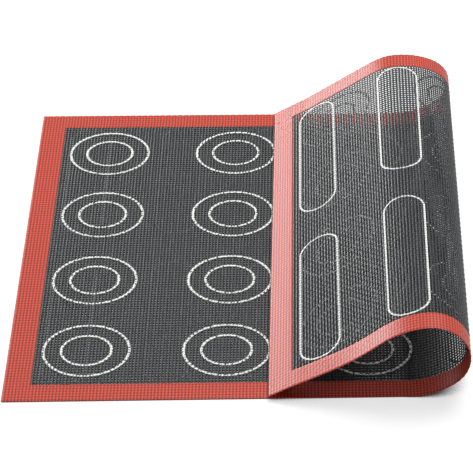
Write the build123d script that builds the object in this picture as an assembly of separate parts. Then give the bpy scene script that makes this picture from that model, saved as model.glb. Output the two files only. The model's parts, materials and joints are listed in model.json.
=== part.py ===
"""A perforated silicone baking mat that lies on a table with its right-hand part folded back.

The mat is one sheet of open glass-fibre mesh coated in black silicone. A red silicone
border wraps its four cut edges. White guide lines are printed on both faces: pairs of
rings on the upper face, and long round-ended outlines on the underside.

X runs along the mat, from its flat left edge towards the fold. Y runs across it, to the
back, and Z is up. The origin is the middle of the folded mat's box, on the table.

The sheet is bent along X only, so its shape is one line in the XZ plane: a flat stretch,
a loop of arcs, a straight slope down and a tip that lies lower, down to the flat stretch.
The sheet is cut across into strips that hinge on each other, so the fold opens out flat.
A place on the sheet is its distance along it from the left edge, its Y, and its height
off the sheet's middle surface, positive towards the face with the rings.
"""

import os
from math import cos, degrees, radians, sin

from build123d import *

# Sheet, in millimetres
mat_length = 400.0
mat_width = 300.0
fabric_thickness = 0.6

# Red border: its skin over each face of the fabric, and its lip past the cut edge
border_width = 15.0
border_skin = 0.15
border_lip = 1.0

# White printed lines
print_thickness = 0.1
line_width = 1.5

# Pairs of rings on the upper face, and the bare mesh between them and the border
outer_ring_diameter = 48.0
inner_ring_diameter = 28.0
ring_columns = 5
ring_rows = 4
ring_gap_left = 2.75
ring_gap_right = 5.75
ring_gap_front = 7.25
ring_gap_back = 3.85

# Long round-ended outlines on the underside, and the bare mesh around them
outline_width = 24.0
outline_columns = 7
outline_rows = 2
outline_gap_side = 4.25
outline_gap_end = 0.75
outline_gap_between_rows = 29.5

# Fold: radii of the sheet's middle surface, and how far each part turns, in degrees
rise_radius = 46.0
rise_turn = 36.5
loop_radius = 21.0
loop_turn = 150.5
crest_radius = 65.0
crest_turn = 25.5
tip_length = 25.0
tip_turn = 4.0
rest_gap = 0.3

# Strips: how many each arc is cut into, and the slit between two of them
rise_strips = 3
loop_strips = 9
crest_strips = 2
slit_width = 0.3

# Square openings that stand for the wider strips' far finer holes: how many across the
# mat and along each strip, and an opening's side as a share of their spacing
openings_across = 12
openings_along = {"flat": 9, "crest_1": 1, "crest_2": 1, "slope": 2}
opening_share = 0.5

# One overrun for cutters that have to pass right through
overrun = 2.0

border_thickness = fabric_thickness + 2 * border_skin
half_border = border_thickness / 2
half_fabric = fabric_thickness / 2

HALF_TURN = 180.0


def down_arc(radius, low_angle, high_angle):
    """Height between two headings on an arc, both in degrees from level."""
    return radius * (cos(radians(low_angle)) - cos(radians(high_angle)))


# The slope's length lets the tip come down on the flat stretch's border
loop_end = rise_turn + loop_turn
slope_heading = loop_end + crest_turn
slope_angle = slope_heading - HALF_TURN
tip_angle = slope_angle - tip_turn
crest_height = (
    half_border
    + down_arc(rise_radius, 0, rise_turn)
    + down_arc(loop_radius, rise_turn, loop_end)
    + down_arc(crest_radius, loop_end, slope_heading)
)
tip_height = border_thickness + rest_gap + half_border * cos(radians(tip_angle))
tip_drop = tip_length * sin(radians(tip_angle))
slope_length = (crest_height - tip_drop - tip_height) / sin(radians(slope_angle))

rise_length = radians(rise_turn) * rise_radius
loop_length = radians(loop_turn) * loop_radius
crest_length = radians(crest_turn) * crest_radius
flat_length = mat_length - (
    rise_length + loop_length + crest_length + slope_length + tip_length
)

# The fold's furthest reach is where the loop stands upright
fold_reach = (
    flat_length
    + rise_radius * sin(radians(rise_turn))
    + loop_radius * (1 - sin(radians(rise_turn)))
    + half_border
)
origin_x = fold_reach / 2


class Strip:
    """One rigid strip of the sheet: an arc, or straight where it has no radius."""

    def __init__(self, name, start, x, z, heading, length, radius):
        self.name = name
        self.start = start
        self.end = start + length
        self.x = x
        self.z = z
        self.heading = heading
        self.length = length
        self.radius = radius

    def heading_at(self, along):
        """Which way the sheet runs there, in degrees from +X towards +Z."""
        if self.radius is None:
            return self.heading
        return self.heading + degrees((along - self.start) / self.radius)

    def place(self, along, off=0.0):
        """X and Z of a point that distance along the sheet and off its middle."""
        angle = radians(self.heading_at(along))
        if self.radius is None:
            x = self.x + (along - self.start) * cos(angle)
            z = self.z + (along - self.start) * sin(angle)
            return x - off * sin(angle), z + off * cos(angle)
        first = radians(self.heading)
        centre_x = self.x - self.radius * sin(first)
        centre_z = self.z + self.radius * cos(first)
        reach = self.radius - off
        return centre_x + reach * sin(angle), centre_z - reach * cos(angle)

    def plane(self):
        """The plane that touches the middle surface halfway along the strip."""
        middle = (self.start + self.end) / 2
        x, z = self.place(middle)
        angle = radians(self.heading_at(middle))
        return Plane(
            origin=(x, 0, z),
            x_dir=(cos(angle), 0, sin(angle)),
            z_dir=(-sin(angle), 0, cos(angle)),
        )

    def slab(self, first, last, low, high, front, back):
        """The solid between two distances along, two heights off and two Y values."""

        def point(along, off):
            x, z = self.place(along, off)
            return x, front, z

        def run(a, b, off):
            if self.radius is None:
                return Line(point(a, off), point(b, off))
            return ThreePointArc(point(a, off), point((a + b) / 2, off), point(b, off))

        outline = [
            run(first, last, low),
            Line(point(last, low), point(last, high)),
            run(last, first, high),
            Line(point(first, high), point(first, low)),
        ]
        face = Face(Wire(outline))
        return Solid.extrude(face, Vector(0, back - front, 0))


def lay_out_strips():
    """The strips in order from the left edge, each starting where the last one ends."""
    plan = [("flat", flat_length, None)]
    for name, arc_length, radius, count in (
        ("rise", rise_length, rise_radius, rise_strips),
        ("loop", loop_length, loop_radius, loop_strips),
        ("crest", crest_length, crest_radius, crest_strips),
    ):
        for number in range(count):
            plan.append((f"{name}_{number + 1}", arc_length / count, radius))
    plan.append(("slope", slope_length, None))
    plan.append(("tip", tip_length, None))
    strips = []
    start, x, z, heading = 0.0, -origin_x, half_border, 0.0
    for name, length, radius in plan:
        if name == "tip":
            heading -= tip_turn
        strip = Strip(name, start, x, z, heading, length, radius)
        strips.append(strip)
        start = strip.end
        x, z = strip.place(start)
        heading = strip.heading_at(start)
    return strips


strips = lay_out_strips()
front_edge = -mat_width / 2
back_edge = mat_width / 2


def ends(strip, margin):
    """Where the strip's material starts and stops, with a margin at the mat's own ends."""
    first = strip.start + (margin if strip is strips[0] else slit_width / 2)
    last = strip.end - (margin if strip is strips[-1] else slit_width / 2)
    return first, last


def make_fabric(strip):
    """The coated mesh, which runs under the border to just short of its outer edge."""
    first, last = ends(strip, border_lip)
    front, back = front_edge + border_lip, back_edge - border_lip
    return strip.slab(first, last, -half_fabric, half_fabric, front, back)


def cut_openings(strip, fabric):
    """The wider strips' fabric with its plain grid of openings, and the others' as it is."""
    if strip.name not in openings_along:
        return fabric
    first, last = ends(strip, border_width)
    spacing_along = (last - first) / openings_along[strip.name]
    spacing_across = (mat_width - 2 * border_width) / openings_across
    opening = Rectangle(opening_share * spacing_along, opening_share * spacing_across)
    grid = GridLocations(
        spacing_along, spacing_across, openings_along[strip.name], openings_across
    )
    off_middle = (first + last) / 2 - (strip.start + strip.end) / 2
    outline = Location((off_middle, 0, 0)) * Sketch([place * opening for place in grid])
    tool = extrude(strip.plane() * outline, amount=overrun, both=True)
    return fabric - tool


def make_border(strip, fabric):
    """The red bands that wrap the fabric's edges along this strip."""
    first, last = ends(strip, 0.0)
    block = strip.slab(first, last, -half_border, half_border, front_edge, back_edge)
    inner_first = border_width if strip is strips[0] else first - overrun
    inner_last = mat_length - border_width if strip is strips[-1] else last + overrun
    window = strip.slab(
        inner_first,
        inner_last,
        -half_border - overrun,
        half_border + overrun,
        front_edge + border_width,
        back_edge - border_width,
    )
    return block - window - fabric


def ring_line(diameter):
    """The flat outline of one printed ring."""
    return Circle((diameter + line_width) / 2) - Circle((diameter - line_width) / 2)


def long_line(length):
    """The flat outline of one printed round-ended shape, which runs along Y."""
    straight = length - outline_width
    outer = SlotCenterToCenter(straight, outline_width + line_width, rotation=90)
    inner = SlotCenterToCenter(straight, outline_width - line_width, rotation=90)
    return outer - inner


def places(low, high, count):
    """Evenly spaced places from the lowest to the highest."""
    return [low + (high - low) * i / (count - 1) for i in range(count)]


def make_prints(strip, drawing, columns, rows, half_reach, side):
    """The white lines on one face of this strip, or None where no column crosses it.

    half_reach is half the drawing's extent along the sheet. side is 1 for the face with
    the rings and -1 for the underside.
    """
    first, last = ends(strip, border_lip)
    low, high = sorted((side * half_fabric, side * (half_fabric + print_thickness)))
    layer = strip.slab(first, last, low, high, front_edge, back_edge)
    plane = strip.plane()
    middle = (strip.start + strip.end) / 2
    depth = overrun + strip.length
    solids = []
    for along in columns:
        if min(last, along + half_reach) - max(first, along - half_reach) < line_width:
            continue
        for row in rows:
            outline = Location((along - middle, row, 0)) * drawing
            tool = extrude(plane * outline, amount=depth, both=True)
            solids += (layer & tool).solids()
    return Compound(solids) if solids else None


def build():
    """Every node of the mat, by name."""
    ring_pair = ring_line(outer_ring_diameter) + ring_line(inner_ring_diameter)
    ring_reach = (outer_ring_diameter + line_width) / 2
    ring_inset = border_width + ring_reach
    ring_places = places(
        ring_inset + ring_gap_left, mat_length - ring_inset - ring_gap_right, ring_columns
    )
    ring_row_places = places(
        front_edge + ring_inset + ring_gap_front,
        back_edge - ring_inset - ring_gap_back,
        ring_rows,
    )

    long_reach = (outline_width + line_width) / 2
    long_inset = border_width + outline_gap_side + long_reach
    long_places = places(long_inset, mat_length - long_inset, outline_columns)
    rows_depth = mat_width - 2 * (border_width + outline_gap_end)
    row_gaps = (outline_rows - 1) * outline_gap_between_rows
    row_depth = (rows_depth - row_gaps) / outline_rows
    first_row = front_edge + border_width + outline_gap_end + row_depth / 2
    long_row_places = places(first_row, -first_row, outline_rows)
    long_outline = long_line(row_depth - line_width)

    nodes = {}
    for strip in strips:
        fabric = make_fabric(strip)
        nodes[f"mesh_{strip.name}"] = cut_openings(strip, fabric)
        nodes[f"border_{strip.name}"] = make_border(strip, fabric)
        nodes[f"ring_guides_{strip.name}"] = make_prints(
            strip, ring_pair, ring_places, ring_row_places, ring_reach, 1
        )
        nodes[f"long_guides_{strip.name}"] = make_prints(
            strip, long_outline, long_places, long_row_places, long_reach, -1
        )
    return {name: shape for name, shape in nodes.items() if shape is not None}


os.makedirs("parts", exist_ok=True)
for node_name, shape in build().items():
    export_step(shape, f"parts/{node_name}.step")
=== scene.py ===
"""The looks of a perforated silicone baking mat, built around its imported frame."""

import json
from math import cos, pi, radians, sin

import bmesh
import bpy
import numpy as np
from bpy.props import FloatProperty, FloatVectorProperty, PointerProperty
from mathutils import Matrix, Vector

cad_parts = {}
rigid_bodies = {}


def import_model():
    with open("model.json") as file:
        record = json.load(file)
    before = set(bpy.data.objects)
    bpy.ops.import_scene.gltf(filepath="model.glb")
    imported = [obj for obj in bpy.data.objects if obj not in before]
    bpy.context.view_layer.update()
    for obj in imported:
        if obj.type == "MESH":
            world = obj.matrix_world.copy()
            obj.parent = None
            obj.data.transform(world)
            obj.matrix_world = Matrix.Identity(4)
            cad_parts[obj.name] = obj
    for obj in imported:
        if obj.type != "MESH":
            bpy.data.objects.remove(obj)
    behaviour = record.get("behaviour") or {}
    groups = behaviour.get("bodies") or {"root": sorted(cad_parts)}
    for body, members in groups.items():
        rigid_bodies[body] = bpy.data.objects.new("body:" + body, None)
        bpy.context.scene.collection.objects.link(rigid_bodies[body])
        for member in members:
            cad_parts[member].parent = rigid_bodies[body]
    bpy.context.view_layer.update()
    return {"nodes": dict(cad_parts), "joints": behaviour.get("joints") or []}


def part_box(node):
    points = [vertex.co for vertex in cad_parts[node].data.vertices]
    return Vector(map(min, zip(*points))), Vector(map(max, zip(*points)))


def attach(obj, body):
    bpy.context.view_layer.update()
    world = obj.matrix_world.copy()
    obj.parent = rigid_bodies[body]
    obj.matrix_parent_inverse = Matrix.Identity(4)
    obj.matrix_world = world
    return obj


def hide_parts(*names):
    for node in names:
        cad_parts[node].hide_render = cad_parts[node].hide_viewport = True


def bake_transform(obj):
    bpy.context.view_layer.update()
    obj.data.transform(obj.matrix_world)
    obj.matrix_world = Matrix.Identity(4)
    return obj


bl_info = {
    "name": "Perforated baking mat",
    "version": (1, 0, 0),
    "blender": (4, 5, 0),
    "location": "View3D > Sidebar > Baking mat",
    "description": "Builds an open-mesh silicone baking mat with one end folded back",
    "category": "Add Mesh",
}

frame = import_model()

MM = 0.001

# What the frame says of the sheet, in millimetres: its edges, thickness and hinge lines
LEFT_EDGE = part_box("border_flat")[0].x / MM
FRONT_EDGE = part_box("border_flat")[0].y / MM
BACK_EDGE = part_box("border_flat")[1].y / MM
BORDER_THICKNESS = (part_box("border_flat")[1].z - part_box("border_flat")[0].z) / MM
HINGES = [(joint["pos_m"][0] / MM, joint["pos_m"][2] / MM) for joint in frame["joints"]]
STRIPS = [frame["joints"][0]["parent"]] + [joint["child"] for joint in frame["joints"]]
STRAIGHT_STRIPS = ("flat", "slope", "tip")

# The flat sheet, in millimetres, measured along it from its left edge
MAT_LENGTH = 400.0
BORDER_WIDTH = 15.0
INNER_LEFT, INNER_RIGHT = BORDER_WIDTH, MAT_LENGTH - BORDER_WIDTH
INNER_FRONT, INNER_BACK = FRONT_EDGE + BORDER_WIDTH, BACK_EDGE - BORDER_WIDTH
FABRIC_TUCK = 0.3
CELLS_ALONG = 201
CELLS_ACROSS = 112
FABRIC_START = INNER_LEFT - FABRIC_TUCK
FABRIC_END = INNER_RIGHT + FABRIC_TUCK
CELL_ALONG = (FABRIC_END - FABRIC_START) / CELLS_ALONG
FABRIC_FRONT = INNER_FRONT - FABRIC_TUCK
FABRIC_BACK = INNER_BACK + FABRIC_TUCK
CELL_ACROSS = (FABRIC_BACK - FABRIC_FRONT) / CELLS_ACROSS
FLAT_PIECES = ("flat_1", "flat_2", "flat_3", "flat_4")

# The printed lines' middles, in millimetres: pairs of rings above, long outlines below
RING_COLUMNS = (42.5, 120.5, 198.5, 276.5, 354.5)
RING_ROWS = (-103.0, -33.2, 36.6, 106.4)
RING_RADII = (24.0, 14.0)
OUTLINE_COLUMNS = (32.0, 88.0, 144.0, 200.0, 256.0, 312.0, 368.0)
OUTLINE_ROWS = (-74.5, 74.5)
OUTLINE_LENGTH = 118.0
OUTLINE_WIDTH = 24.0

# A printed line's steps and the most it reaches past its middle, in millimetres, and its
# width over a hole as a share of its width on the threads
LINE_STEP = 0.62
LINE_MARGIN = 1.0
LINE_OVER_HOLES = 0.64

# Shares of the sheet's askew lie: of its shift to the left that the front edge has, and of
# its short free end that the back of the crest has
LEFT_SHIFT_AT_FRONT = 0.3
SHORT_AT_CREST = 0.7

# How much the threads along the mat count next to the yarns across it: for the painted
# sheen on the mesh's thread tops, and for the ribs of the border, in their relief and in
# their colour's painted shade and highlight
THREAD_SHEEN = 0.3
THREAD_SHARE_IN_BORDER = 0.4

# Spacings and patch sizes of the finishes, in millimetres. The yarns' own filaments are
# too fine to show, so they are drawn 0.4 mm apart
FILAMENT_SPACING = 0.4
# The patches in which the mesh's painted sheen on the thread tops, and its roughness, vary
SHEEN_AND_GLOSS_PATCH = 3.0
BORDER_GRAIN = 0.6
INK_PATCH = 1.5

# Places nearer to each other than this, in millimetres, are one: when merged, when taken
# to be on an edge, and when cut
MERGED = 1e-4
ON_EDGE = 1e-3
ON_CUT = 1e-5

# The photograph's camera, which stands in front of the mat and looks down on it
CAMERA_PLACE = (50.60 * MM, -1336.27 * MM, 882.40 * MM)
CAMERA_YAW, CAMERA_PITCH, CAMERA_ROLL = -2.2958, 33.1696, -1.6747
CAMERA_LENS = 208.1

# The table, in metres. It carries a painted shadow, dark and not lifted, where less than
# the first share of the space close above it is open, and is bare and lifted to white where
# more than the second is
TABLE_REACH = 6.0
SHADOW_REACH = 0.03
SHADOW_SAMPLES = 8
FULL_SHADOW_BELOW, NO_SHADOW_ABOVE = 0.27, 0.52
TABLE_LIFT = 0.64

# The room is white to the eye and less so in a reflection, and shines on the mat at a
# lower strength. The lamps are square panels, in metres and watts
ROOM_MIRRORED = 0.55
ROOM_LIGHT = 0.35
LAMP_SIZE = 1.2
LAMPS = (
    ("key_panel", 30.0, (0.45, 0.6, 1.5)),
    ("low_window", 48.0, (-1.5, 2.5, 0.45)),
)


def sized(name):
    """One of the panel's sizes, in millimetres."""
    return getattr(bpy.context.scene.baking_mat, name) / MM


def hump(along, middle, reach):
    """1 in the middle, easing to 0 at its reach on each side, without a kink."""
    return (1 - np.clip((along - middle) / reach, -1, 1) ** 2) ** 3


class Fold:
    """The folded sheet's middle surface, worked out from the frame's hinge lines.

    A place on the sheet is (along, across, off): how far it is from the left edge, its Y,
    and its height off the middle surface towards the face with the rings.
    """

    STEP = 0.1
    EASE = 6.0

    def __init__(self):
        points = [(LEFT_EDGE, BORDER_THICKNESS / 2)] + HINGES
        self.starts = [0.0]
        along, heading = 0.0, 0.0
        knots = [(0.0, 0.0)]
        for strip, a, b in zip(STRIPS, points, points[1:]):
            chord = np.hypot(b[0] - a[0], b[1] - a[1])
            lean = np.arctan2(b[1] - a[1], b[0] - a[0]) % (2 * pi)
            turn = 0.0 if strip in STRAIGHT_STRIPS else 2 * (lean - heading)
            along += chord if not turn else chord * (turn / 2) / sin(turn / 2)
            heading += turn
            knots.append((along, heading))
            self.starts.append(along)
        kink = radians(frame["joints"][-1]["range_deg"][1])
        knots.append((along + self.STEP, heading - kink))
        knots.append((MAT_LENGTH, heading - kink))
        self.ends = self.starts[1:] + [MAT_LENGTH]

        # Silicone takes no sudden bend, so each change of curve is eased over a few mm
        self.samples = np.arange(0.0, MAT_LENGTH + self.STEP / 2, self.STEP)
        heading = np.interp(self.samples, *zip(*knots))
        window = np.ones(int(self.EASE / self.STEP) + 1)
        padded = np.pad(heading, len(window) // 2, mode="edge")
        self.heading = np.convolve(padded, window / window.sum(), mode="valid")
        middle = (self.heading[1:] + self.heading[:-1]) / 2
        self.x = LEFT_EDGE + np.append(0.0, np.cumsum(np.cos(middle)) * self.STEP)
        self.z = points[0][1] + np.append(0.0, np.cumsum(np.sin(middle)) * self.STEP)

    def place(self, along, across, off):
        """Arrays of places on the sheet turned to points in metres.

        Left of the left edge the surface carries on level.
        """
        x = np.interp(along, self.samples, self.x) + np.minimum(along, 0.0)
        z = np.interp(along, self.samples, self.z)
        heading = np.interp(along, self.samples, self.heading)
        lift = off + self.slack(along, across)
        points = (x - lift * np.sin(heading), across, z + lift * np.cos(heading))
        return np.stack(points, 1) * MM

    def slack(self, along, across):
        """How far the sheet lies inside the frame's fold, because no soft loop is quite round.

        The back of the loop is lower, and the front of the slope sags.
        """
        back = (across - FRONT_EDGE) / (BACK_EDGE - FRONT_EDGE)
        loop = hump(along, sized("loop_slack_at"), sized("loop_slack_reach"))
        slope = hump(along, sized("slope_slack_at"), sized("slope_slack_reach"))
        return loop * sized("loop_slack") * back + slope * sized("slope_slack") * (1 - back)


FOLD = Fold()
FLAT_END = FOLD.ends[0]
LOOP_MIDDLE = FOLD.ends[STRIPS.index("loop_5")]
CREST_START = FOLD.starts[STRIPS.index("crest_1")]
SLOPE_START = FOLD.starts[STRIPS.index("slope")]


class Span:
    """A stretch of the sheet that rides on one body, or bends from one to the next."""

    def __init__(self, name, start, end, bodies):
        self.name = name
        self.start = start
        self.end = end
        self.bodies = bodies

    def shared(self, start, end):
        """How much of its length lies between two places."""
        return min(self.end, end) - max(self.start, start)


def fabric_lines():
    """Where the sheet may be divided: the lines through the middles of the mesh's holes."""
    return FABRIC_START + np.arange(CELLS_ALONG + 1) * CELL_ALONG


def lay_out_spans():
    """The rigid stretches and, between them, one bending stretch across each hinge."""
    lines = fabric_lines()

    def snapped(along):
        return float(lines[np.abs(lines - along).argmin()])

    def reach(strip, other):
        half = [(FOLD.ends[i] - FOLD.starts[i]) / 2 for i in map(STRIPS.index, (strip, other))]
        return min(half) if strip in STRAIGHT_STRIPS else half[0]

    bends = []
    for number, joint in enumerate(frame["joints"], 1):
        pair = (joint["parent"], joint["child"])
        hinge = FOLD.starts[STRIPS.index(joint["child"])]
        start = snapped(hinge - reach(*pair))
        end = snapped(hinge + reach(*reversed(pair)))
        bends.append(Span(f"bend_{number}", start, end, pair))
    flat = Span("flat", FABRIC_START, bends[0].start, STRIPS[:1])
    slope = Span("slope", bends[-2].end, bends[-1].start, STRIPS[-2:-1])
    return [flat] + bends[:-1] + [slope, bends[-1]]


SPANS = lay_out_spans()


def divided(span):
    """The flat stretch as four, because its mesh has more threads than one piece may hold."""
    if span.name != "flat":
        return [span]
    lines = fabric_lines()
    last = int(round((span.end - FABRIC_START) / CELL_ALONG))
    cuts = [lines[round(last * i / len(FLAT_PIECES))] for i in range(len(FLAT_PIECES) + 1)]
    return [Span(name, float(a), float(b), span.bodies)
            for name, a, b in zip(FLAT_PIECES, cuts, cuts[1:])]


MESH_SPANS = [part for span in SPANS for part in divided(span)]


def yarn_swell(along):
    """1 on the middle of a yarn that runs across the mat, 0 halfway to the next."""
    return (1 - np.cos(2 * pi * (along - FABRIC_START) / CELL_ALONG)) / 2


def thread_swell(across):
    """1 on the middle of a thread that runs along the mat, 0 halfway to the next."""
    return (1 + np.cos(2 * pi * (across - FABRIC_FRONT) / CELL_ACROSS)) / 2


def eased(values, start, end):
    """0 before start, 1 after end, and evenly between them."""
    return np.clip((values - start) / (end - start), 0, 1)


def askew(along, across):
    """Where the sheet's places really lie, because a soft sheet isn't cut or laid quite square.

    Its rear left corner reaches out, its rear edge lies a little further back up to the fold,
    its front edge runs to the back on its way there, and its free end falls short.
    """
    back = eased(across, FRONT_EDGE, BACK_EDGE)
    left = 1 - eased(along, 0.0, FLAT_END)
    before_fold = 1 - eased(along, FLAT_END, LOOP_MIDDLE)
    to_fold = eased(along, 0.0, FLAT_END) * before_fold
    widening = LEFT_SHIFT_AT_FRONT + (1 - LEFT_SHIFT_AT_FRONT) * back
    spread = sized("askew_left") * widening * left
    short = sized("askew_free_end") * (
        (1 - back) * eased(along, LOOP_MIDDLE, SLOPE_START)
        + back * (eased(along, INNER_RIGHT, MAT_LENGTH)
                  + SHORT_AT_CREST * hump(along, CREST_START, SLOPE_START - CREST_START)))
    shift = (sized("askew_rear") * back ** 2 * before_fold
             + sized("askew_front") * (1 - back) * to_fold)
    return along - spread - short, across + shift


def on_threads(along, across):
    """1 where a thread of either direction lies, and down to 0 in the middle of a hole."""
    return 1 - (1 - yarn_swell(along)) * (1 - thread_swell(across))


def crimp(along, across):
    """The threads' rise and fall over each other, in millimetres."""
    by_along = np.cos(pi * ((along - FABRIC_START) / CELL_ALONG - 0.5))
    by_across = np.cos(pi * (across - FABRIC_FRONT) / CELL_ACROSS)
    return sized("crimp") * by_along * by_across


def add_patch(bm, along, across):
    """A grid on these lines. Returns its vertices with the two lines that each is on."""
    made = bmesh.ops.create_grid(
        bm, x_segments=len(along) - 1, y_segments=len(across) - 1, size=1.0)
    found = []
    for vert in made["verts"]:
        i = round((vert.co.x + 1) / 2 * (len(along) - 1))
        j = round((vert.co.y + 1) / 2 * (len(across) - 1))
        vert.co = (along[i], across[j], 0.0)
        found.append((vert, i, j))
    return found


def close_both_sides(bm, is_cut):
    """Gives a skin that lies above the middle surface its rim and its other side.

    Cut ends, which meet the next piece, keep a sharp edge, so that the shading runs on.
    """
    rim = [edge for edge in bm.edges
           if edge.is_boundary and any(vert.co.z > MERGED for vert in edge.verts)]
    for edge in rim:
        if all(is_cut(vert.co) for vert in edge.verts):
            edge.smooth = False
    wall = bmesh.ops.extrude_edge_only(bm, edges=rim)["geom"]
    for vert in (item for item in wall if isinstance(item, bmesh.types.BMVert)):
        vert.co.z = 0.0
    bmesh.ops.remove_doubles(bm, verts=bm.verts, dist=MERGED)
    whole = bm.verts[:] + bm.edges[:] + bm.faces[:]
    bmesh.ops.mirror(bm, geom=whole, matrix=Matrix.Identity(4), merge_dist=MERGED, axis="Z")
    bmesh.ops.recalc_face_normals(bm, faces=bm.faces)


def bend_piece(bm, name, material, square=False):
    """Lays a flat shape, in millimetres, on the folded sheet as a new object.

    Its flat places stay on it as an attribute, which the materials' patterns follow.
    """
    mesh = bpy.data.meshes.new(name)
    bm.to_mesh(mesh)
    bm.free()
    flat = np.empty(len(mesh.vertices) * 3, np.float32)
    mesh.vertices.foreach_get("co", flat)
    along, across, off = flat.reshape(-1, 3).astype(float).T
    off = off + crimp(along, across)
    if not square:
        along, across = askew(along, across)
    mesh.vertices.foreach_set("co", FOLD.place(along, across, off).astype(np.float32).ravel())
    kept = mesh.attributes.new("flat_place", "FLOAT_VECTOR", "POINT")
    kept.data.foreach_set("vector", flat)
    mesh.materials.append(material)
    mesh.shade_smooth()
    piece = bpy.data.objects.new(name, mesh)
    bpy.context.scene.collection.objects.link(piece)
    return piece


def carry(piece, span):
    """Parents a piece to its stretch's body where the stretch rides on one; else applies its
    transform, and the piece stays where it lies.
    """
    if len(span.bodies) == 1:
        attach(piece, span.bodies[0])
    else:
        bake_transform(piece)


def stand_for(kind, made):
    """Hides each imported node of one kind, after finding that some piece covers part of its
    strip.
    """
    for strip, start, end in zip(STRIPS, FOLD.starts, FOLD.ends):
        node = f"{kind}_{strip}"
        if node in frame["nodes"]:
            span, piece = max(made, key=lambda pair: pair[0].shared(start, end))
            if span.shared(start, end) <= 0:
                raise RuntimeError(f"no piece covers {node}")
            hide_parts(node)


def linear(hex_colour):
    """An sRGB hex colour as the linear values that shaders take."""
    channels = [int(hex_colour[i:i + 2], 16) / 255 for i in (1, 3, 5)]
    return [c / 12.92 if c <= 0.04045 else ((c + 0.055) / 1.055) ** 2.4 for c in channels]


def add(tree, kind, settings=(), **links):
    """Adds a node, sets its options and sockets, and links its sockets to others' outputs.

    A setting is (name, value): an option of the node, or a socket by name or number.
    """
    node = tree.nodes.new(kind)
    for name, value in settings:
        if isinstance(name, str) and hasattr(node, name):
            setattr(node, name, value)
        else:
            node.inputs[name].default_value = value
    for name, output in links.items():
        key = int(name[1:]) if name[0] == "_" else name.replace("_", " ")
        tree.links.new(output, node.inputs[key])
    return node


def new_material(name):
    """An empty material and its node tree."""
    material = bpy.data.materials.new(name)
    material.use_nodes = True
    material.node_tree.nodes.clear()
    return material, material.node_tree


def sheet_places(tree):
    """The surface's own flat places, in millimetres, so that patterns follow the fold."""
    source = add(tree, "ShaderNodeAttribute", [("attribute_name", "flat_place")])
    return source.outputs["Vector"]


def ribs(tree, places, direction, spacing, top):
    """Soft bands from 0 to 1, spacing millimetres apart, one of them at its full at top."""
    # At scale 1 the wave texture turns by this many radians for each unit, from 0
    turn = 20
    wave = add(tree, "ShaderNodeTexWave", [
        ("bands_direction", direction), ("wave_profile", "SIN"),
        ("Scale", 2 * pi / (turn * spacing)),
        ("Phase Offset", pi - 2 * pi * top / spacing)], Vector=places)
    return wave.outputs["Fac"]


def yarn_ribs(tree, places):
    """1 on the yarns that run across the mat, 0 halfway between them."""
    return ribs(tree, places, "X", CELL_ALONG, FABRIC_START + CELL_ALONG / 2)


def thread_ribs(tree, places):
    """1 on the threads that run along the mat, 0 halfway between them."""
    return ribs(tree, places, "Y", CELL_ACROSS, FABRIC_FRONT)


def speckle(tree, places, size):
    """Uneven patches of about this size in millimetres, from 0 to 1."""
    noise = add(tree, "ShaderNodeTexNoise", [("Scale", 1 / size), ("Detail", 3.0)],
                Vector=places)
    return noise.outputs["Fac"]


def blend_colours(tree, share, low, high):
    """The low colour where the share is 0, the high one where it is 1."""
    mix = add(tree, "ShaderNodeMix", [
        ("data_type", "RGBA"), ("blend_type", "MIX"),
        (6, (*low, 1.0)), (7, (*high, 1.0))], _0=share)
    return mix.outputs[2]


def ranged(tree, value, low, high):
    """A 0 to 1 value spread between two others."""
    node = add(tree, "ShaderNodeMapRange", [("To Min", low), ("To Max", high)], Value=value)
    return node.outputs["Result"]


def surface(tree, settings, **links):
    """The material's one shader and its output."""
    shader = add(tree, "ShaderNodeBsdfPrincipled", settings, **links)
    add(tree, "ShaderNodeOutputMaterial", Surface=shader.outputs["BSDF"])


def coated_mesh_material():
    """Glass-fibre mesh dip-coated in black silicone: satin, with its thread tops painted paler as
    a sheen, more in some patches than in others.
    """
    material, tree = new_material("black_silicone_coated_glass_mesh")
    colours = bpy.context.scene.baking_mat_colours
    places = sheet_places(tree)
    filaments = ribs(tree, places, "X", FILAMENT_SPACING, 0.0)
    patches = speckle(tree, places, SHEEN_AND_GLOSS_PATCH)
    yarns = add(tree, "ShaderNodeMath", [("operation", "POWER"), (1, 2.0)],
                _0=yarn_ribs(tree, places))
    threads = add(tree, "ShaderNodeMath", [("operation", "MULTIPLY"), (1, THREAD_SHEEN)],
                  _0=thread_ribs(tree, places))
    tops = add(tree, "ShaderNodeMath", [("operation", "MAXIMUM")],
               _0=yarns.outputs[0], _1=threads.outputs[0])
    # Painted sheen: the thread tops get a paler colour, stronger in some patches than in others
    sheen_on_tops = add(tree, "ShaderNodeMath", [("operation", "MULTIPLY")],
                 _0=tops.outputs[0], _1=ranged(tree, patches, 0.5, 1.2))
    base = blend_colours(tree, sheen_on_tops.outputs[0], colours.fabric, colours.fabric_worn)
    bump = add(tree, "ShaderNodeBump", [("Strength", 0.25), ("Distance", 0.05 * MM)],
               Height=filaments)
    surface(tree, [("IOR", 1.41), ("Specular IOR Level", 0.3)], Base_Color=base,
            Roughness=ranged(tree, patches, 0.26, 0.38), Normal=bump.outputs["Normal"])
    return material


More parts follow.
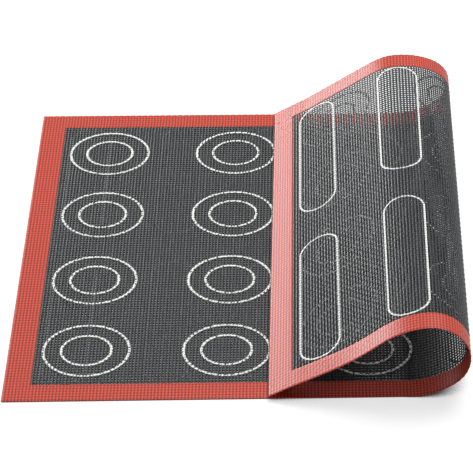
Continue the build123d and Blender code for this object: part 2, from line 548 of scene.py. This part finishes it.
def red_silicone_material():
    """Red silicone spread over the mesh's edges: the threads show through as fine ribs, with
    painted shade in the hollows between them and a painted highlight on their tops.
    """
    material, tree = new_material("red_silicone_spread_on_mesh")
    colours = bpy.context.scene.baking_mat_colours
    places = sheet_places(tree)
    along = yarn_ribs(tree, places)
    raised = add(tree, "ShaderNodeMix", [("data_type", "FLOAT"), (0, THREAD_SHARE_IN_BORDER)],
                 _2=along, _3=thread_ribs(tree, places))
    # The colour runs from a painted shade in the hollows between the ribs to a painted highlight
    # on their tops
    ribs_lit_and_shaded = blend_colours(tree, raised.outputs[0], colours.border_rib, colours.border)
    bump = add(tree, "ShaderNodeBump", [("Strength", 0.5), ("Distance", 0.1 * MM)],
               Height=speckle(tree, places, BORDER_GRAIN))
    surface(tree, [("IOR", 1.41), ("Specular IOR Level", 0.36)],
            Base_Color=ribs_lit_and_shaded, Roughness=ranged(tree, along, 0.44, 0.36),
            Normal=bump.outputs["Normal"])
    return material


def printed_silicone_material():
    """White silicone ink screened onto the threads: thick on their tops, thin over holes."""
    material, tree = new_material("white_silicone_screen_print")
    colours = bpy.context.scene.baking_mat_colours
    places = sheet_places(tree)
    both = add(tree, "ShaderNodeMath", [("operation", "MAXIMUM")],
               _0=yarn_ribs(tree, places), _1=thread_ribs(tree, places))
    fuller = add(tree, "ShaderNodeMath", [("operation", "POWER"), (1, 2.0)], _0=both.outputs[0])
    beaded = blend_colours(tree, fuller.outputs[0], colours.print_thin, colours.print)
    surface(tree, [("IOR", 1.41)], Base_Color=beaded,
            Roughness=ranged(tree, speckle(tree, places, INK_PATCH), 0.4, 0.55))
    return material


def shown(tree):
    """1 for what the camera sees, also through glass, less in a reflection, and else 0."""
    path = add(tree, "ShaderNodeLightPath")
    mirrored = add(tree, "ShaderNodeMath", [("operation", "MULTIPLY"), (1, ROOM_MIRRORED)],
                   _0=path.outputs["Is Glossy Ray"])
    seen = add(tree, "ShaderNodeMath", [("operation", "MAXIMUM")],
               _0=path.outputs["Is Camera Ray"], _1=mirrored.outputs[0])
    either = add(tree, "ShaderNodeMath", [("operation", "MAXIMUM")],
                 _0=seen.outputs[0], _1=path.outputs["Is Transmission Ray"])
    return either.outputs[0]


def floor_material():
    """A matt table top, lifted to white for the camera where it lies open to the room, and
    painted dark as a shadow under and beside the mat.
    """
    material, tree = new_material("matt_white_table")
    colours = bpy.context.scene.baking_mat_colours
    open_above = add(tree, "ShaderNodeAmbientOcclusion", [
        ("samples", SHADOW_SAMPLES), ("Distance", SHADOW_REACH)])
    unshaded = add(tree, "ShaderNodeMapRange", [
        ("From Min", FULL_SHADOW_BELOW), ("From Max", NO_SHADOW_ABOVE)],
        Value=open_above.outputs["AO"])
    lift = add(tree, "ShaderNodeMath", [("operation", "MULTIPLY")],
               _0=unshaded.outputs["Result"], _1=shown(tree))
    # Painted shadow: where the mat closes the space above it, the table's colour turns dark and
    # its lift is withheld
    base = blend_colours(tree, unshaded.outputs["Result"], colours.floor_painted_shadow, colours.floor)
    surface(tree, [("Roughness", 0.9), ("Specular IOR Level", 0.1),
                   ("Emission Color", (1.0, 1.0, 1.0, 1.0))],
            Base_Color=base, Emission_Strength=ranged(tree, lift.outputs[0], 0.0, TABLE_LIFT))
    return material


class BakingMatSizes(bpy.types.PropertyGroup):
    """Sizes of the mat's threads, ribs and printed lines, and how slack its fold is."""

    hole_along: FloatProperty(
        name="Hole width", description="Hole of the mesh, measured along the mat",
        default=0.80 * MM, unit="LENGTH")
    hole_across: FloatProperty(
        name="Hole height", description="Hole of the mesh, measured across the mat",
        default=1.20 * MM, unit="LENGTH")
    yarn_top: FloatProperty(
        name="Yarn top", description="Width of the flattened top of a yarn across the mat",
        default=0.50 * MM, unit="LENGTH")
    corner_fill: FloatProperty(
        name="Corner fill", description="How far the coating rounds a hole's corners",
        default=0.10 * MM, unit="LENGTH")
    crossing_height: FloatProperty(
        name="Crossing height", description="Half thickness where two yarns cross",
        default=0.31 * MM, unit="LENGTH")
    yarn_height: FloatProperty(
        name="Yarn height", description="Half thickness of the yarns across the mat",
        default=0.28 * MM, unit="LENGTH")
    thread_height: FloatProperty(
        name="Thread height", description="Half thickness of the threads along the mat",
        default=0.16 * MM, unit="LENGTH")
    crimp: FloatProperty(
        name="Crimp", description="How far the yarns rise and fall over each other",
        default=0.12 * MM, unit="LENGTH")
    border_rib: FloatProperty(
        name="Border rib", description="Height of the threads' ribs through the red border",
        default=0.22 * MM, unit="LENGTH")
    border_rim: FloatProperty(
        name="Border rim", description="Radius of the red border's rounded rims",
        default=0.33 * MM, unit="LENGTH")
    ring_line: FloatProperty(
        name="Ring line", description="Width of the printed rings' lines",
        default=1.75 * MM, unit="LENGTH")
    outline_line: FloatProperty(
        name="Outline line", description="Width of the long printed outlines' lines",
        default=1.35 * MM, unit="LENGTH")
    line_height: FloatProperty(
        name="Line height", description="Top of a printed line above the sheet's middle",
        default=0.38 * MM, unit="LENGTH")
    line_half_depth: FloatProperty(
        name="Line half depth", description="Half the thickness of a printed line",
        default=0.06 * MM, unit="LENGTH")
    line_dip: FloatProperty(
        name="Line dip", description="How far a printed line dips over a hole",
        default=0.2 * MM, unit="LENGTH")
    askew_left: FloatProperty(
        name="Askew left", description="How far the rear left corner reaches further left",
        default=2.4 * MM, unit="LENGTH")
    askew_rear: FloatProperty(
        name="Askew rear", description="How far the rear edge lies further back",
        default=2.7 * MM, unit="LENGTH")
    askew_front: FloatProperty(
        name="Askew front", description="How far the front edge lies back where the fold starts",
        default=2.9 * MM, unit="LENGTH")
    askew_free_end: FloatProperty(
        name="Askew free end", description="How far the free end falls short",
        default=1.8 * MM, unit="LENGTH")
    loop_slack: FloatProperty(
        name="Loop slack", description="How much lower the loop is at the back",
        default=4.1 * MM, unit="LENGTH")
    loop_slack_at: FloatProperty(
        name="Loop slack place", description="Where along the mat the loop is lower",
        default=293.0 * MM, unit="LENGTH")
    loop_slack_reach: FloatProperty(
        name="Loop slack reach", description="How far the lower part reaches each way",
        default=31.0 * MM, unit="LENGTH")
    slope_slack: FloatProperty(
        name="Slope sag", description="How much the slope sags at the front",
        default=2.9 * MM, unit="LENGTH")
    slope_slack_at: FloatProperty(
        name="Slope sag place", description="Where along the mat the slope sags",
        default=346.0 * MM, unit="LENGTH")
    slope_slack_reach: FloatProperty(
        name="Slope sag reach", description="How far the sag reaches each way",
        default=46.0 * MM, unit="LENGTH")


def colour_property(name, description, hex_colour):
    return FloatVectorProperty(name=name, description=description, subtype="COLOR",
                               size=3, min=0.0, max=1.0, default=linear(hex_colour))


class BakingMatColours(bpy.types.PropertyGroup):
    """Colours of the mat's silicones and of the table."""

    fabric: colour_property("Mesh", "Black silicone in the threads' hollows", "#090B0D")
    # The paler mesh colour is a painted sheen on the threads' tops
    fabric_worn: colour_property("Mesh, rubbed", "Black silicone on the threads' tops", "#34383B")
    # The ribs' tops carry a painted highlight, and the hollows between them a painted shade
    border: colour_property("Border", "Red silicone over the ribs' tops", "#DE523C")
    border_rib: colour_property("Border hollows", "Red silicone between the ribs", "#640F07")
    print: colour_property("Print", "White ink on the threads", "#F4F4F0")
    print_thin: colour_property("Print, thin", "White ink over the holes", "#A2A4A2")
    floor: colour_property("Table", "Matt white table top", "#B0B0B0")
    # A painted shadow: the table's colour right under the mat and close beside it
    floor_painted_shadow: colour_property("Table, covered", "Table top right under the mat", "#303030")


class BAKINGMAT_OT_fabric(bpy.types.Operator):
    """Builds the open glass-fibre mesh, every hole of it, coated in black silicone"""

    bl_idname = "baking_mat.fabric"
    bl_label = "Coated mesh"

    def execute(self, context):
        material = coated_mesh_material()
        made = []
        for span in MESH_SPANS:
            bm = bmesh.new()
            self.weave_skin(bm, span)
            ends = (span.start, span.end)
            close_both_sides(bm, lambda co: min(abs(co.x - end) for end in ends) < ON_EDGE)
            piece = bend_piece(bm, f"fabric_{span.name}", material)
            carry(piece, span)
            made.append((span, piece))
        stand_for("mesh", made)
        return {"FINISHED"}

    def weave_skin(self, bm, span):
        """The upper half of a stretch of mesh: five columns and three rows for each hole."""
        hole_along, hole_across = sized("hole_along"), sized("hole_across")
        cells = round((span.end - span.start) / CELL_ALONG)
        half_top = sized("yarn_top") / 2
        columns = (0.0, hole_along / 2, CELL_ALONG / 2 - half_top,
                   CELL_ALONG / 2 + half_top, CELL_ALONG - hole_along / 2)
        rows = (0.0, (CELL_ACROSS - hole_across) / 2, (CELL_ACROSS + hole_across) / 2)
        along = [span.start + k * CELL_ALONG + c for k in range(cells) for c in columns]
        across = [FABRIC_FRONT + k * CELL_ACROSS + r for k in range(CELLS_ACROSS) for r in rows]
        along.append(span.end)
        across.append(FABRIC_BACK)
        thread, yarn, crossing = (
            sized(f"{name}_height") for name in ("thread", "yarn", "crossing"))
        near_crossing = (thread + crossing) / 2
        on_thread = (thread, near_crossing, crossing, crossing, near_crossing)
        on_yarn = (2, 3)
        outward = {1: -1, 4: 1}
        fill = sized("corner_fill")
        for vert, i, j in add_patch(bm, along, across):
            column, row = i % len(columns), j % len(rows)
            if row == 0:
                vert.co.z = on_thread[column]
            elif column in on_yarn:
                vert.co.z = yarn
            elif column in outward:
                vert.co.x += fill * outward[column]
                vert.co.y += fill * (1 if row == 1 else -1)
        holes = [face for face in bm.faces
                 if all(vert.co.z < MERGED for vert in face.verts)]
        bmesh.ops.delete(bm, geom=holes, context="FACES")


class BAKINGMAT_OT_border(bpy.types.Operator):
    """Builds the red silicone band round the sheet's four edges"""

    bl_idname = "baking_mat.border"
    bl_label = "Red border"

    def execute(self, context):
        material = red_silicone_material()
        made = []
        tip = Span("tip", INNER_RIGHT, MAT_LENGTH, STRIPS[-1:])
        for span in SPANS + [tip]:
            bm = bmesh.new()
            self.border_skin(bm, span)
            edges = (self.rim_start(span), self.rim_end(span))
            cuts = [edge for edge in edges if 0.0 < edge < MAT_LENGTH]
            close_both_sides(bm, lambda co: min(abs(co.x - cut) for cut in cuts) < ON_EDGE)
            piece = bend_piece(bm, f"edge_{span.name}", material)
            carry(piece, span)
            made.append((span, piece))
        stand_for("border", made)
        return {"FINISHED"}

    def rim_start(self, span):
        """Where its border starts: for the first stretch, at the sheet's own edge."""
        return 0.0 if span.start == FABRIC_START else span.start

    def rim_end(self, span):
        """Where its border ends: the free end's band is a stretch of its own."""
        return span.end if span.name == "tip" else min(span.end, INNER_RIGHT)

    def ribbed_lines(self, start, end, first, spacing, rims):
        """Lines on the threads and halfway between them, and one beside each rounded rim."""
        rim = sized("border_rim")
        low = start + (rim if rims[0] else 0.0)
        high = end - (rim if rims[1] else 0.0)
        step = spacing / 2
        lattice = first + step * np.arange(np.ceil((low - first) / step),
                                           np.floor((high - first) / step) + 1)
        inner = [line for line in lattice if low + step / 4 < line < high - step / 4]
        return [start] + [low] * rims[0] + inner + [high] * rims[1] + [end]

    def lines_along(self, start, end, rims=(False, False)):
        return self.ribbed_lines(start, end, FABRIC_START, CELL_ALONG, rims)

    def lines_across(self, start, end, rims=(False, False)):
        return self.ribbed_lines(start, end, FABRIC_FRONT, CELL_ACROSS, rims)

    def border_skin(self, bm, span):
        """The upper half of a stretch of border, as bands that join at the corners."""
        start, end = self.rim_start(span), self.rim_end(span)
        both = (True, True)
        front = self.lines_across(FRONT_EDGE, INNER_FRONT, both)
        between = self.lines_across(INNER_FRONT, INNER_BACK)
        back = self.lines_across(INNER_BACK, BACK_EDGE, both)
        patches = []
        for low, high in ((start, INNER_LEFT), (INNER_RIGHT, end)):
            if high > low:
                band = self.lines_along(low, high, both)
                patches += [(band, front), (band, between), (band, back)]
        low, high = max(start, INNER_LEFT), min(end, INNER_RIGHT)
        if high > low:
            band = self.lines_along(low, high)
            patches += [(band, front), (band, back)]
        for along, across in patches:
            add_patch(bm, along, across)
        bmesh.ops.remove_doubles(bm, verts=bm.verts, dist=MERGED)
        self.raise_ribs(bm)

    def raise_ribs(self, bm):
        top, rib = BORDER_THICKNESS / 2 - sized("crimp"), sized("border_rib")
        rim = sized("border_rim")
        share = THREAD_SHARE_IN_BORDER
        for vert in bm.verts:
            x, y = vert.co.x, vert.co.y
            swell = (1 - share) * yarn_swell(x) + share * thread_swell(y)
            vert.co.z = top - rib * (1 - swell)
            at_side = min(y - FRONT_EDGE, BACK_EDGE - y) < ON_EDGE
            at_end = min(x, MAT_LENGTH - x) < ON_EDGE
            inside = (INNER_LEFT - ON_EDGE < x < INNER_RIGHT + ON_EDGE
                      and INNER_FRONT - ON_EDGE < y < INNER_BACK + ON_EDGE)
            if at_side or at_end or inside:
                vert.co.z = top - rim


class BAKINGMAT_OT_ring_guides(bpy.types.Operator):
    """Prints the pairs of white rings on the mat's upper face"""

    bl_idname = "baking_mat.ring_guides"
    bl_label = "Ring guides"

    def execute(self, context):
        paths = [ring_path(column, row, radius) for column in RING_COLUMNS
                 for row in RING_ROWS for radius in RING_RADII]
        print_lines("rings", "ring_guides", paths, 1, sized("ring_line"))
        return {"FINISHED"}


class BAKINGMAT_OT_long_guides(bpy.types.Operator):
    """Prints the long round-ended white outlines on the mat's underside"""

    bl_idname = "baking_mat.long_guides"
    bl_label = "Long guides"

    def execute(self, context):
        paths = [outline_path(column, row) for column in OUTLINE_COLUMNS
                 for row in OUTLINE_ROWS]
        print_lines("outlines", "long_guides", paths, -1, sized("outline_line"))
        return {"FINISHED"}


def ring_path(column, row, radius):
    """A ring as evenly spaced places with their outward directions."""
    turns = np.linspace(0, 2 * pi, round(2 * pi * radius / LINE_STEP) + 1)
    outward = np.stack((np.cos(turns), np.sin(turns)), 1)
    return np.array((column, row)) + outward * radius, outward


def outline_path(column, row):
    """A long round-ended outline, likewise."""
    radius = OUTLINE_WIDTH / 2
    half = OUTLINE_LENGTH / 2 - radius
    whole = 4 * half + 2 * pi * radius
    gone = np.linspace(0, whole, round(whole / LINE_STEP) + 1)
    turn, straight = pi * radius, 2 * half
    after = np.clip(gone - straight, 0, turn)
    down = np.clip(gone - straight - turn, 0, straight)
    last = np.clip(gone - 2 * straight - turn, 0, turn)
    angle = (after + last) / radius
    outward = np.stack((np.cos(angle), np.sin(angle)), 1)
    middle = -half + np.clip(gone, 0, straight) - down
    return np.stack((column + radius * outward[:, 0], row + middle + radius * outward[:, 1]),
                    1), outward


def print_lines(name, nodes, paths, side, width):
    """Prints lines on one face: 1 is the upper face, and -1 the underside."""
    material = bpy.data.materials.get("white_silicone_screen_print") or (
        printed_silicone_material())
    made = []
    for span in SPANS:
        near = [path for path in paths
                if path[0][:, 0].max() + LINE_MARGIN > span.start
                and path[0][:, 0].min() - LINE_MARGIN < span.end]
        bm = bmesh.new()
        for path in near:
            add_line(bm, *path, width)
        if bm.verts:
            close_both_sides(bm, lambda co: False)
            for cut, sense in ((span.start, -1), (span.end, 1)):
                trim(bm, cut, sense)
        if not bm.verts:
            bm.free()
            continue
        lift = sized("line_height") - sized("line_half_depth")
        for vert in bm.verts:
            dip = sized("line_dip") * (1 - on_threads(vert.co.x, vert.co.y))
            vert.co.z = (vert.co.z + lift - dip) * side
        if side < 0:
            bmesh.ops.reverse_faces(bm, faces=bm.faces)
        piece = bend_piece(bm, f"{name}_{span.name}", material, square=side > 0)
        carry(piece, span)
        made.append((span, piece))
    stand_for(nodes, made)


def add_line(bm, middles, outward, width):
    """The upper half of a printed line: a low crown, a little wider over the threads."""
    half = width / 2
    depth = sized("line_half_depth")
    widths = (-1.0, -0.7, 0.0, 0.7, 1.0)
    crown = (0.0, 0.85, 1.0, 0.85, 0.0)
    fuller = on_threads(middles[:, 0], middles[:, 1])
    for vert, i, j in add_patch(bm, range(len(middles)), range(len(widths))):
        reach = half * widths[j] * (LINE_OVER_HOLES + (1 - LINE_OVER_HOLES) * fuller[i])
        place = middles[i] + outward[i] * reach
        vert.co = (*place, depth * crown[j])
    bmesh.ops.remove_doubles(bm, verts=bm.verts, dist=MERGED)


def trim(bm, cut, sense):
    """Cuts away what lies past a line across the sheet, and closes the cut."""
    whole = bm.verts[:] + bm.edges[:] + bm.faces[:]
    bmesh.ops.bisect_plane(bm, geom=whole, dist=ON_CUT, plane_co=(cut, 0, 0),
                           plane_no=(sense, 0, 0), clear_outer=True)
    opened = [edge for edge in bm.edges if edge.is_boundary]
    if opened:
        filled = bmesh.ops.holes_fill(bm, edges=opened, sides=0)
        for face in filled["faces"]:
            for edge in face.edges:
                edge.smooth = False


class BAKINGMAT_OT_cloth(bpy.types.Operator):
    """Groups the sheet's pieces under the wide stretches of cloth nearest to them; the grouping
    is not kept
    """

    bl_idname = "baking_mat.cloth"
    bl_label = "Cloth sizes"

    # A stretch narrower than this goes with the wide one nearest to it
    narrowest: FloatProperty(
        name="Narrowest", description="Width from which a stretch is stated on its own",
        default=10.5 * MM, unit="LENGTH")

    def execute(self, context):
        wide = [part for part in MESH_SPANS if (part.end - part.start) * MM > self.narrowest]
        if not wide:
            raise RuntimeError("no stretch of cloth is wide enough to be stated")
        goes_with = {part.name: [] for part in wide}
        for piece in bpy.data.objects:
            kind, _, stretch = piece.name.partition("_")
            if kind not in ("fabric", "edge", "rings", "outlines"):
                continue
            if kind == "fabric" and stretch in goes_with:
                continue
            goes_with[self.nearest(stretch, wide)].append(piece)
        return {"FINISHED"}

    def nearest(self, stretch, wide):
        """The wide stretch whose middle is nearest to the named one's."""
        middles = {part.name: (part.start + part.end) / 2 for part in SPANS + MESH_SPANS}
        middles["tip"] = MAT_LENGTH
        place = middles[stretch]
        return min(wide, key=lambda part: abs((part.start + part.end) / 2 - place)).name


class BAKINGMAT_OT_stage(bpy.types.Operator):
    """Sets up the white table, the soft lamps and the camera"""

    bl_idname = "baking_mat.stage"
    bl_label = "Table, lamps and camera"

    def execute(self, context):
        self.lay_table()
        self.light()
        self.place_camera()
        context.scene.view_settings.view_transform = "Standard"
        return {"FINISHED"}

    def lay_table(self):
        mesh = bpy.data.meshes.new("table")
        bm = bmesh.new()
        bmesh.ops.create_grid(bm, x_segments=1, y_segments=1, size=TABLE_REACH)
        bm.to_mesh(mesh)
        bm.free()
        mesh.materials.append(floor_material())
        table = bpy.data.objects.new("table", mesh)
        bpy.context.scene.collection.objects.link(table)

    def light(self):
        world = bpy.data.worlds.new("white_room")
        bpy.context.scene.world = world
        world.use_nodes = True
        tree = world.node_tree
        tree.nodes.clear()
        strength = add(tree, "ShaderNodeMapRange", [("To Min", ROOM_LIGHT), ("To Max", 1.0)],
                       Value=shown(tree))
        room = add(tree, "ShaderNodeBackground", [("Color", (1.0, 1.0, 1.0, 1.0))],
                   Strength=strength.outputs["Result"])
        add(tree, "ShaderNodeOutputWorld", Surface=room.outputs["Background"])
        for name, power, place in LAMPS:
            lamp = bpy.data.lights.new(name, "AREA")
            lamp.energy = power
            lamp.size = LAMP_SIZE
            holder = bpy.data.objects.new(name, lamp)
            holder.location = place
            holder.rotation_euler = (-Vector(place)).to_track_quat("-Z", "Y").to_euler()
            bpy.context.scene.collection.objects.link(holder)

    def place_camera(self):
        camera = bpy.data.objects.new("camera", bpy.data.cameras.new("camera"))
        bpy.context.scene.collection.objects.link(camera)
        yaw, pitch, roll = map(radians, (CAMERA_YAW, CAMERA_PITCH, CAMERA_ROLL))
        ahead = Vector((sin(yaw) * cos(pitch), cos(yaw) * cos(pitch), -sin(pitch)))
        level = Vector((cos(yaw), -sin(yaw), 0.0))
        above = level.cross(ahead)
        right = cos(roll) * level + sin(roll) * above
        up = cos(roll) * above - sin(roll) * level
        turned = Matrix((right, up, -ahead)).transposed()
        camera.matrix_world = Matrix.Translation(CAMERA_PLACE) @ turned.to_4x4()
        camera.data.lens = CAMERA_LENS
        bpy.context.scene.camera = camera


class BAKINGMAT_PT_panel(bpy.types.Panel):
    """Lists the mat's sizes, colours and building steps in the sidebar"""

    bl_idname = "BAKINGMAT_PT_panel"
    bl_label = "Baking mat"
    bl_space_type = "VIEW_3D"
    bl_region_type = "UI"
    bl_category = "Baking mat"

    def draw(self, context):
        for group in (context.scene.baking_mat, context.scene.baking_mat_colours):
            box = self.layout.box()
            for name in group.__annotations__:
                box.prop(group, name)
        for operator in OPERATORS:
            self.layout.operator(operator.bl_idname)


OPERATORS = (
    BAKINGMAT_OT_fabric,
    BAKINGMAT_OT_border,
    BAKINGMAT_OT_ring_guides,
    BAKINGMAT_OT_long_guides,
    BAKINGMAT_OT_cloth,
    BAKINGMAT_OT_stage,
)
CLASSES = (BakingMatSizes, BakingMatColours) + OPERATORS + (BAKINGMAT_PT_panel,)


def register():
    for cls in CLASSES:
        bpy.utils.register_class(cls)
    bpy.types.Scene.baking_mat = PointerProperty(type=BakingMatSizes)
    bpy.types.Scene.baking_mat_colours = PointerProperty(type=BakingMatColours)


def unregister():
    del bpy.types.Scene.baking_mat_colours
    del bpy.types.Scene.baking_mat
    for cls in reversed(CLASSES):
        bpy.utils.unregister_class(cls)


def main():
    register()
    bpy.ops.baking_mat.fabric()
    bpy.ops.baking_mat.border()
    bpy.ops.baking_mat.ring_guides()
    bpy.ops.baking_mat.long_guides()
    bpy.ops.baking_mat.cloth()
    bpy.ops.baking_mat.stage()


if __name__ == "__main__":
    main()
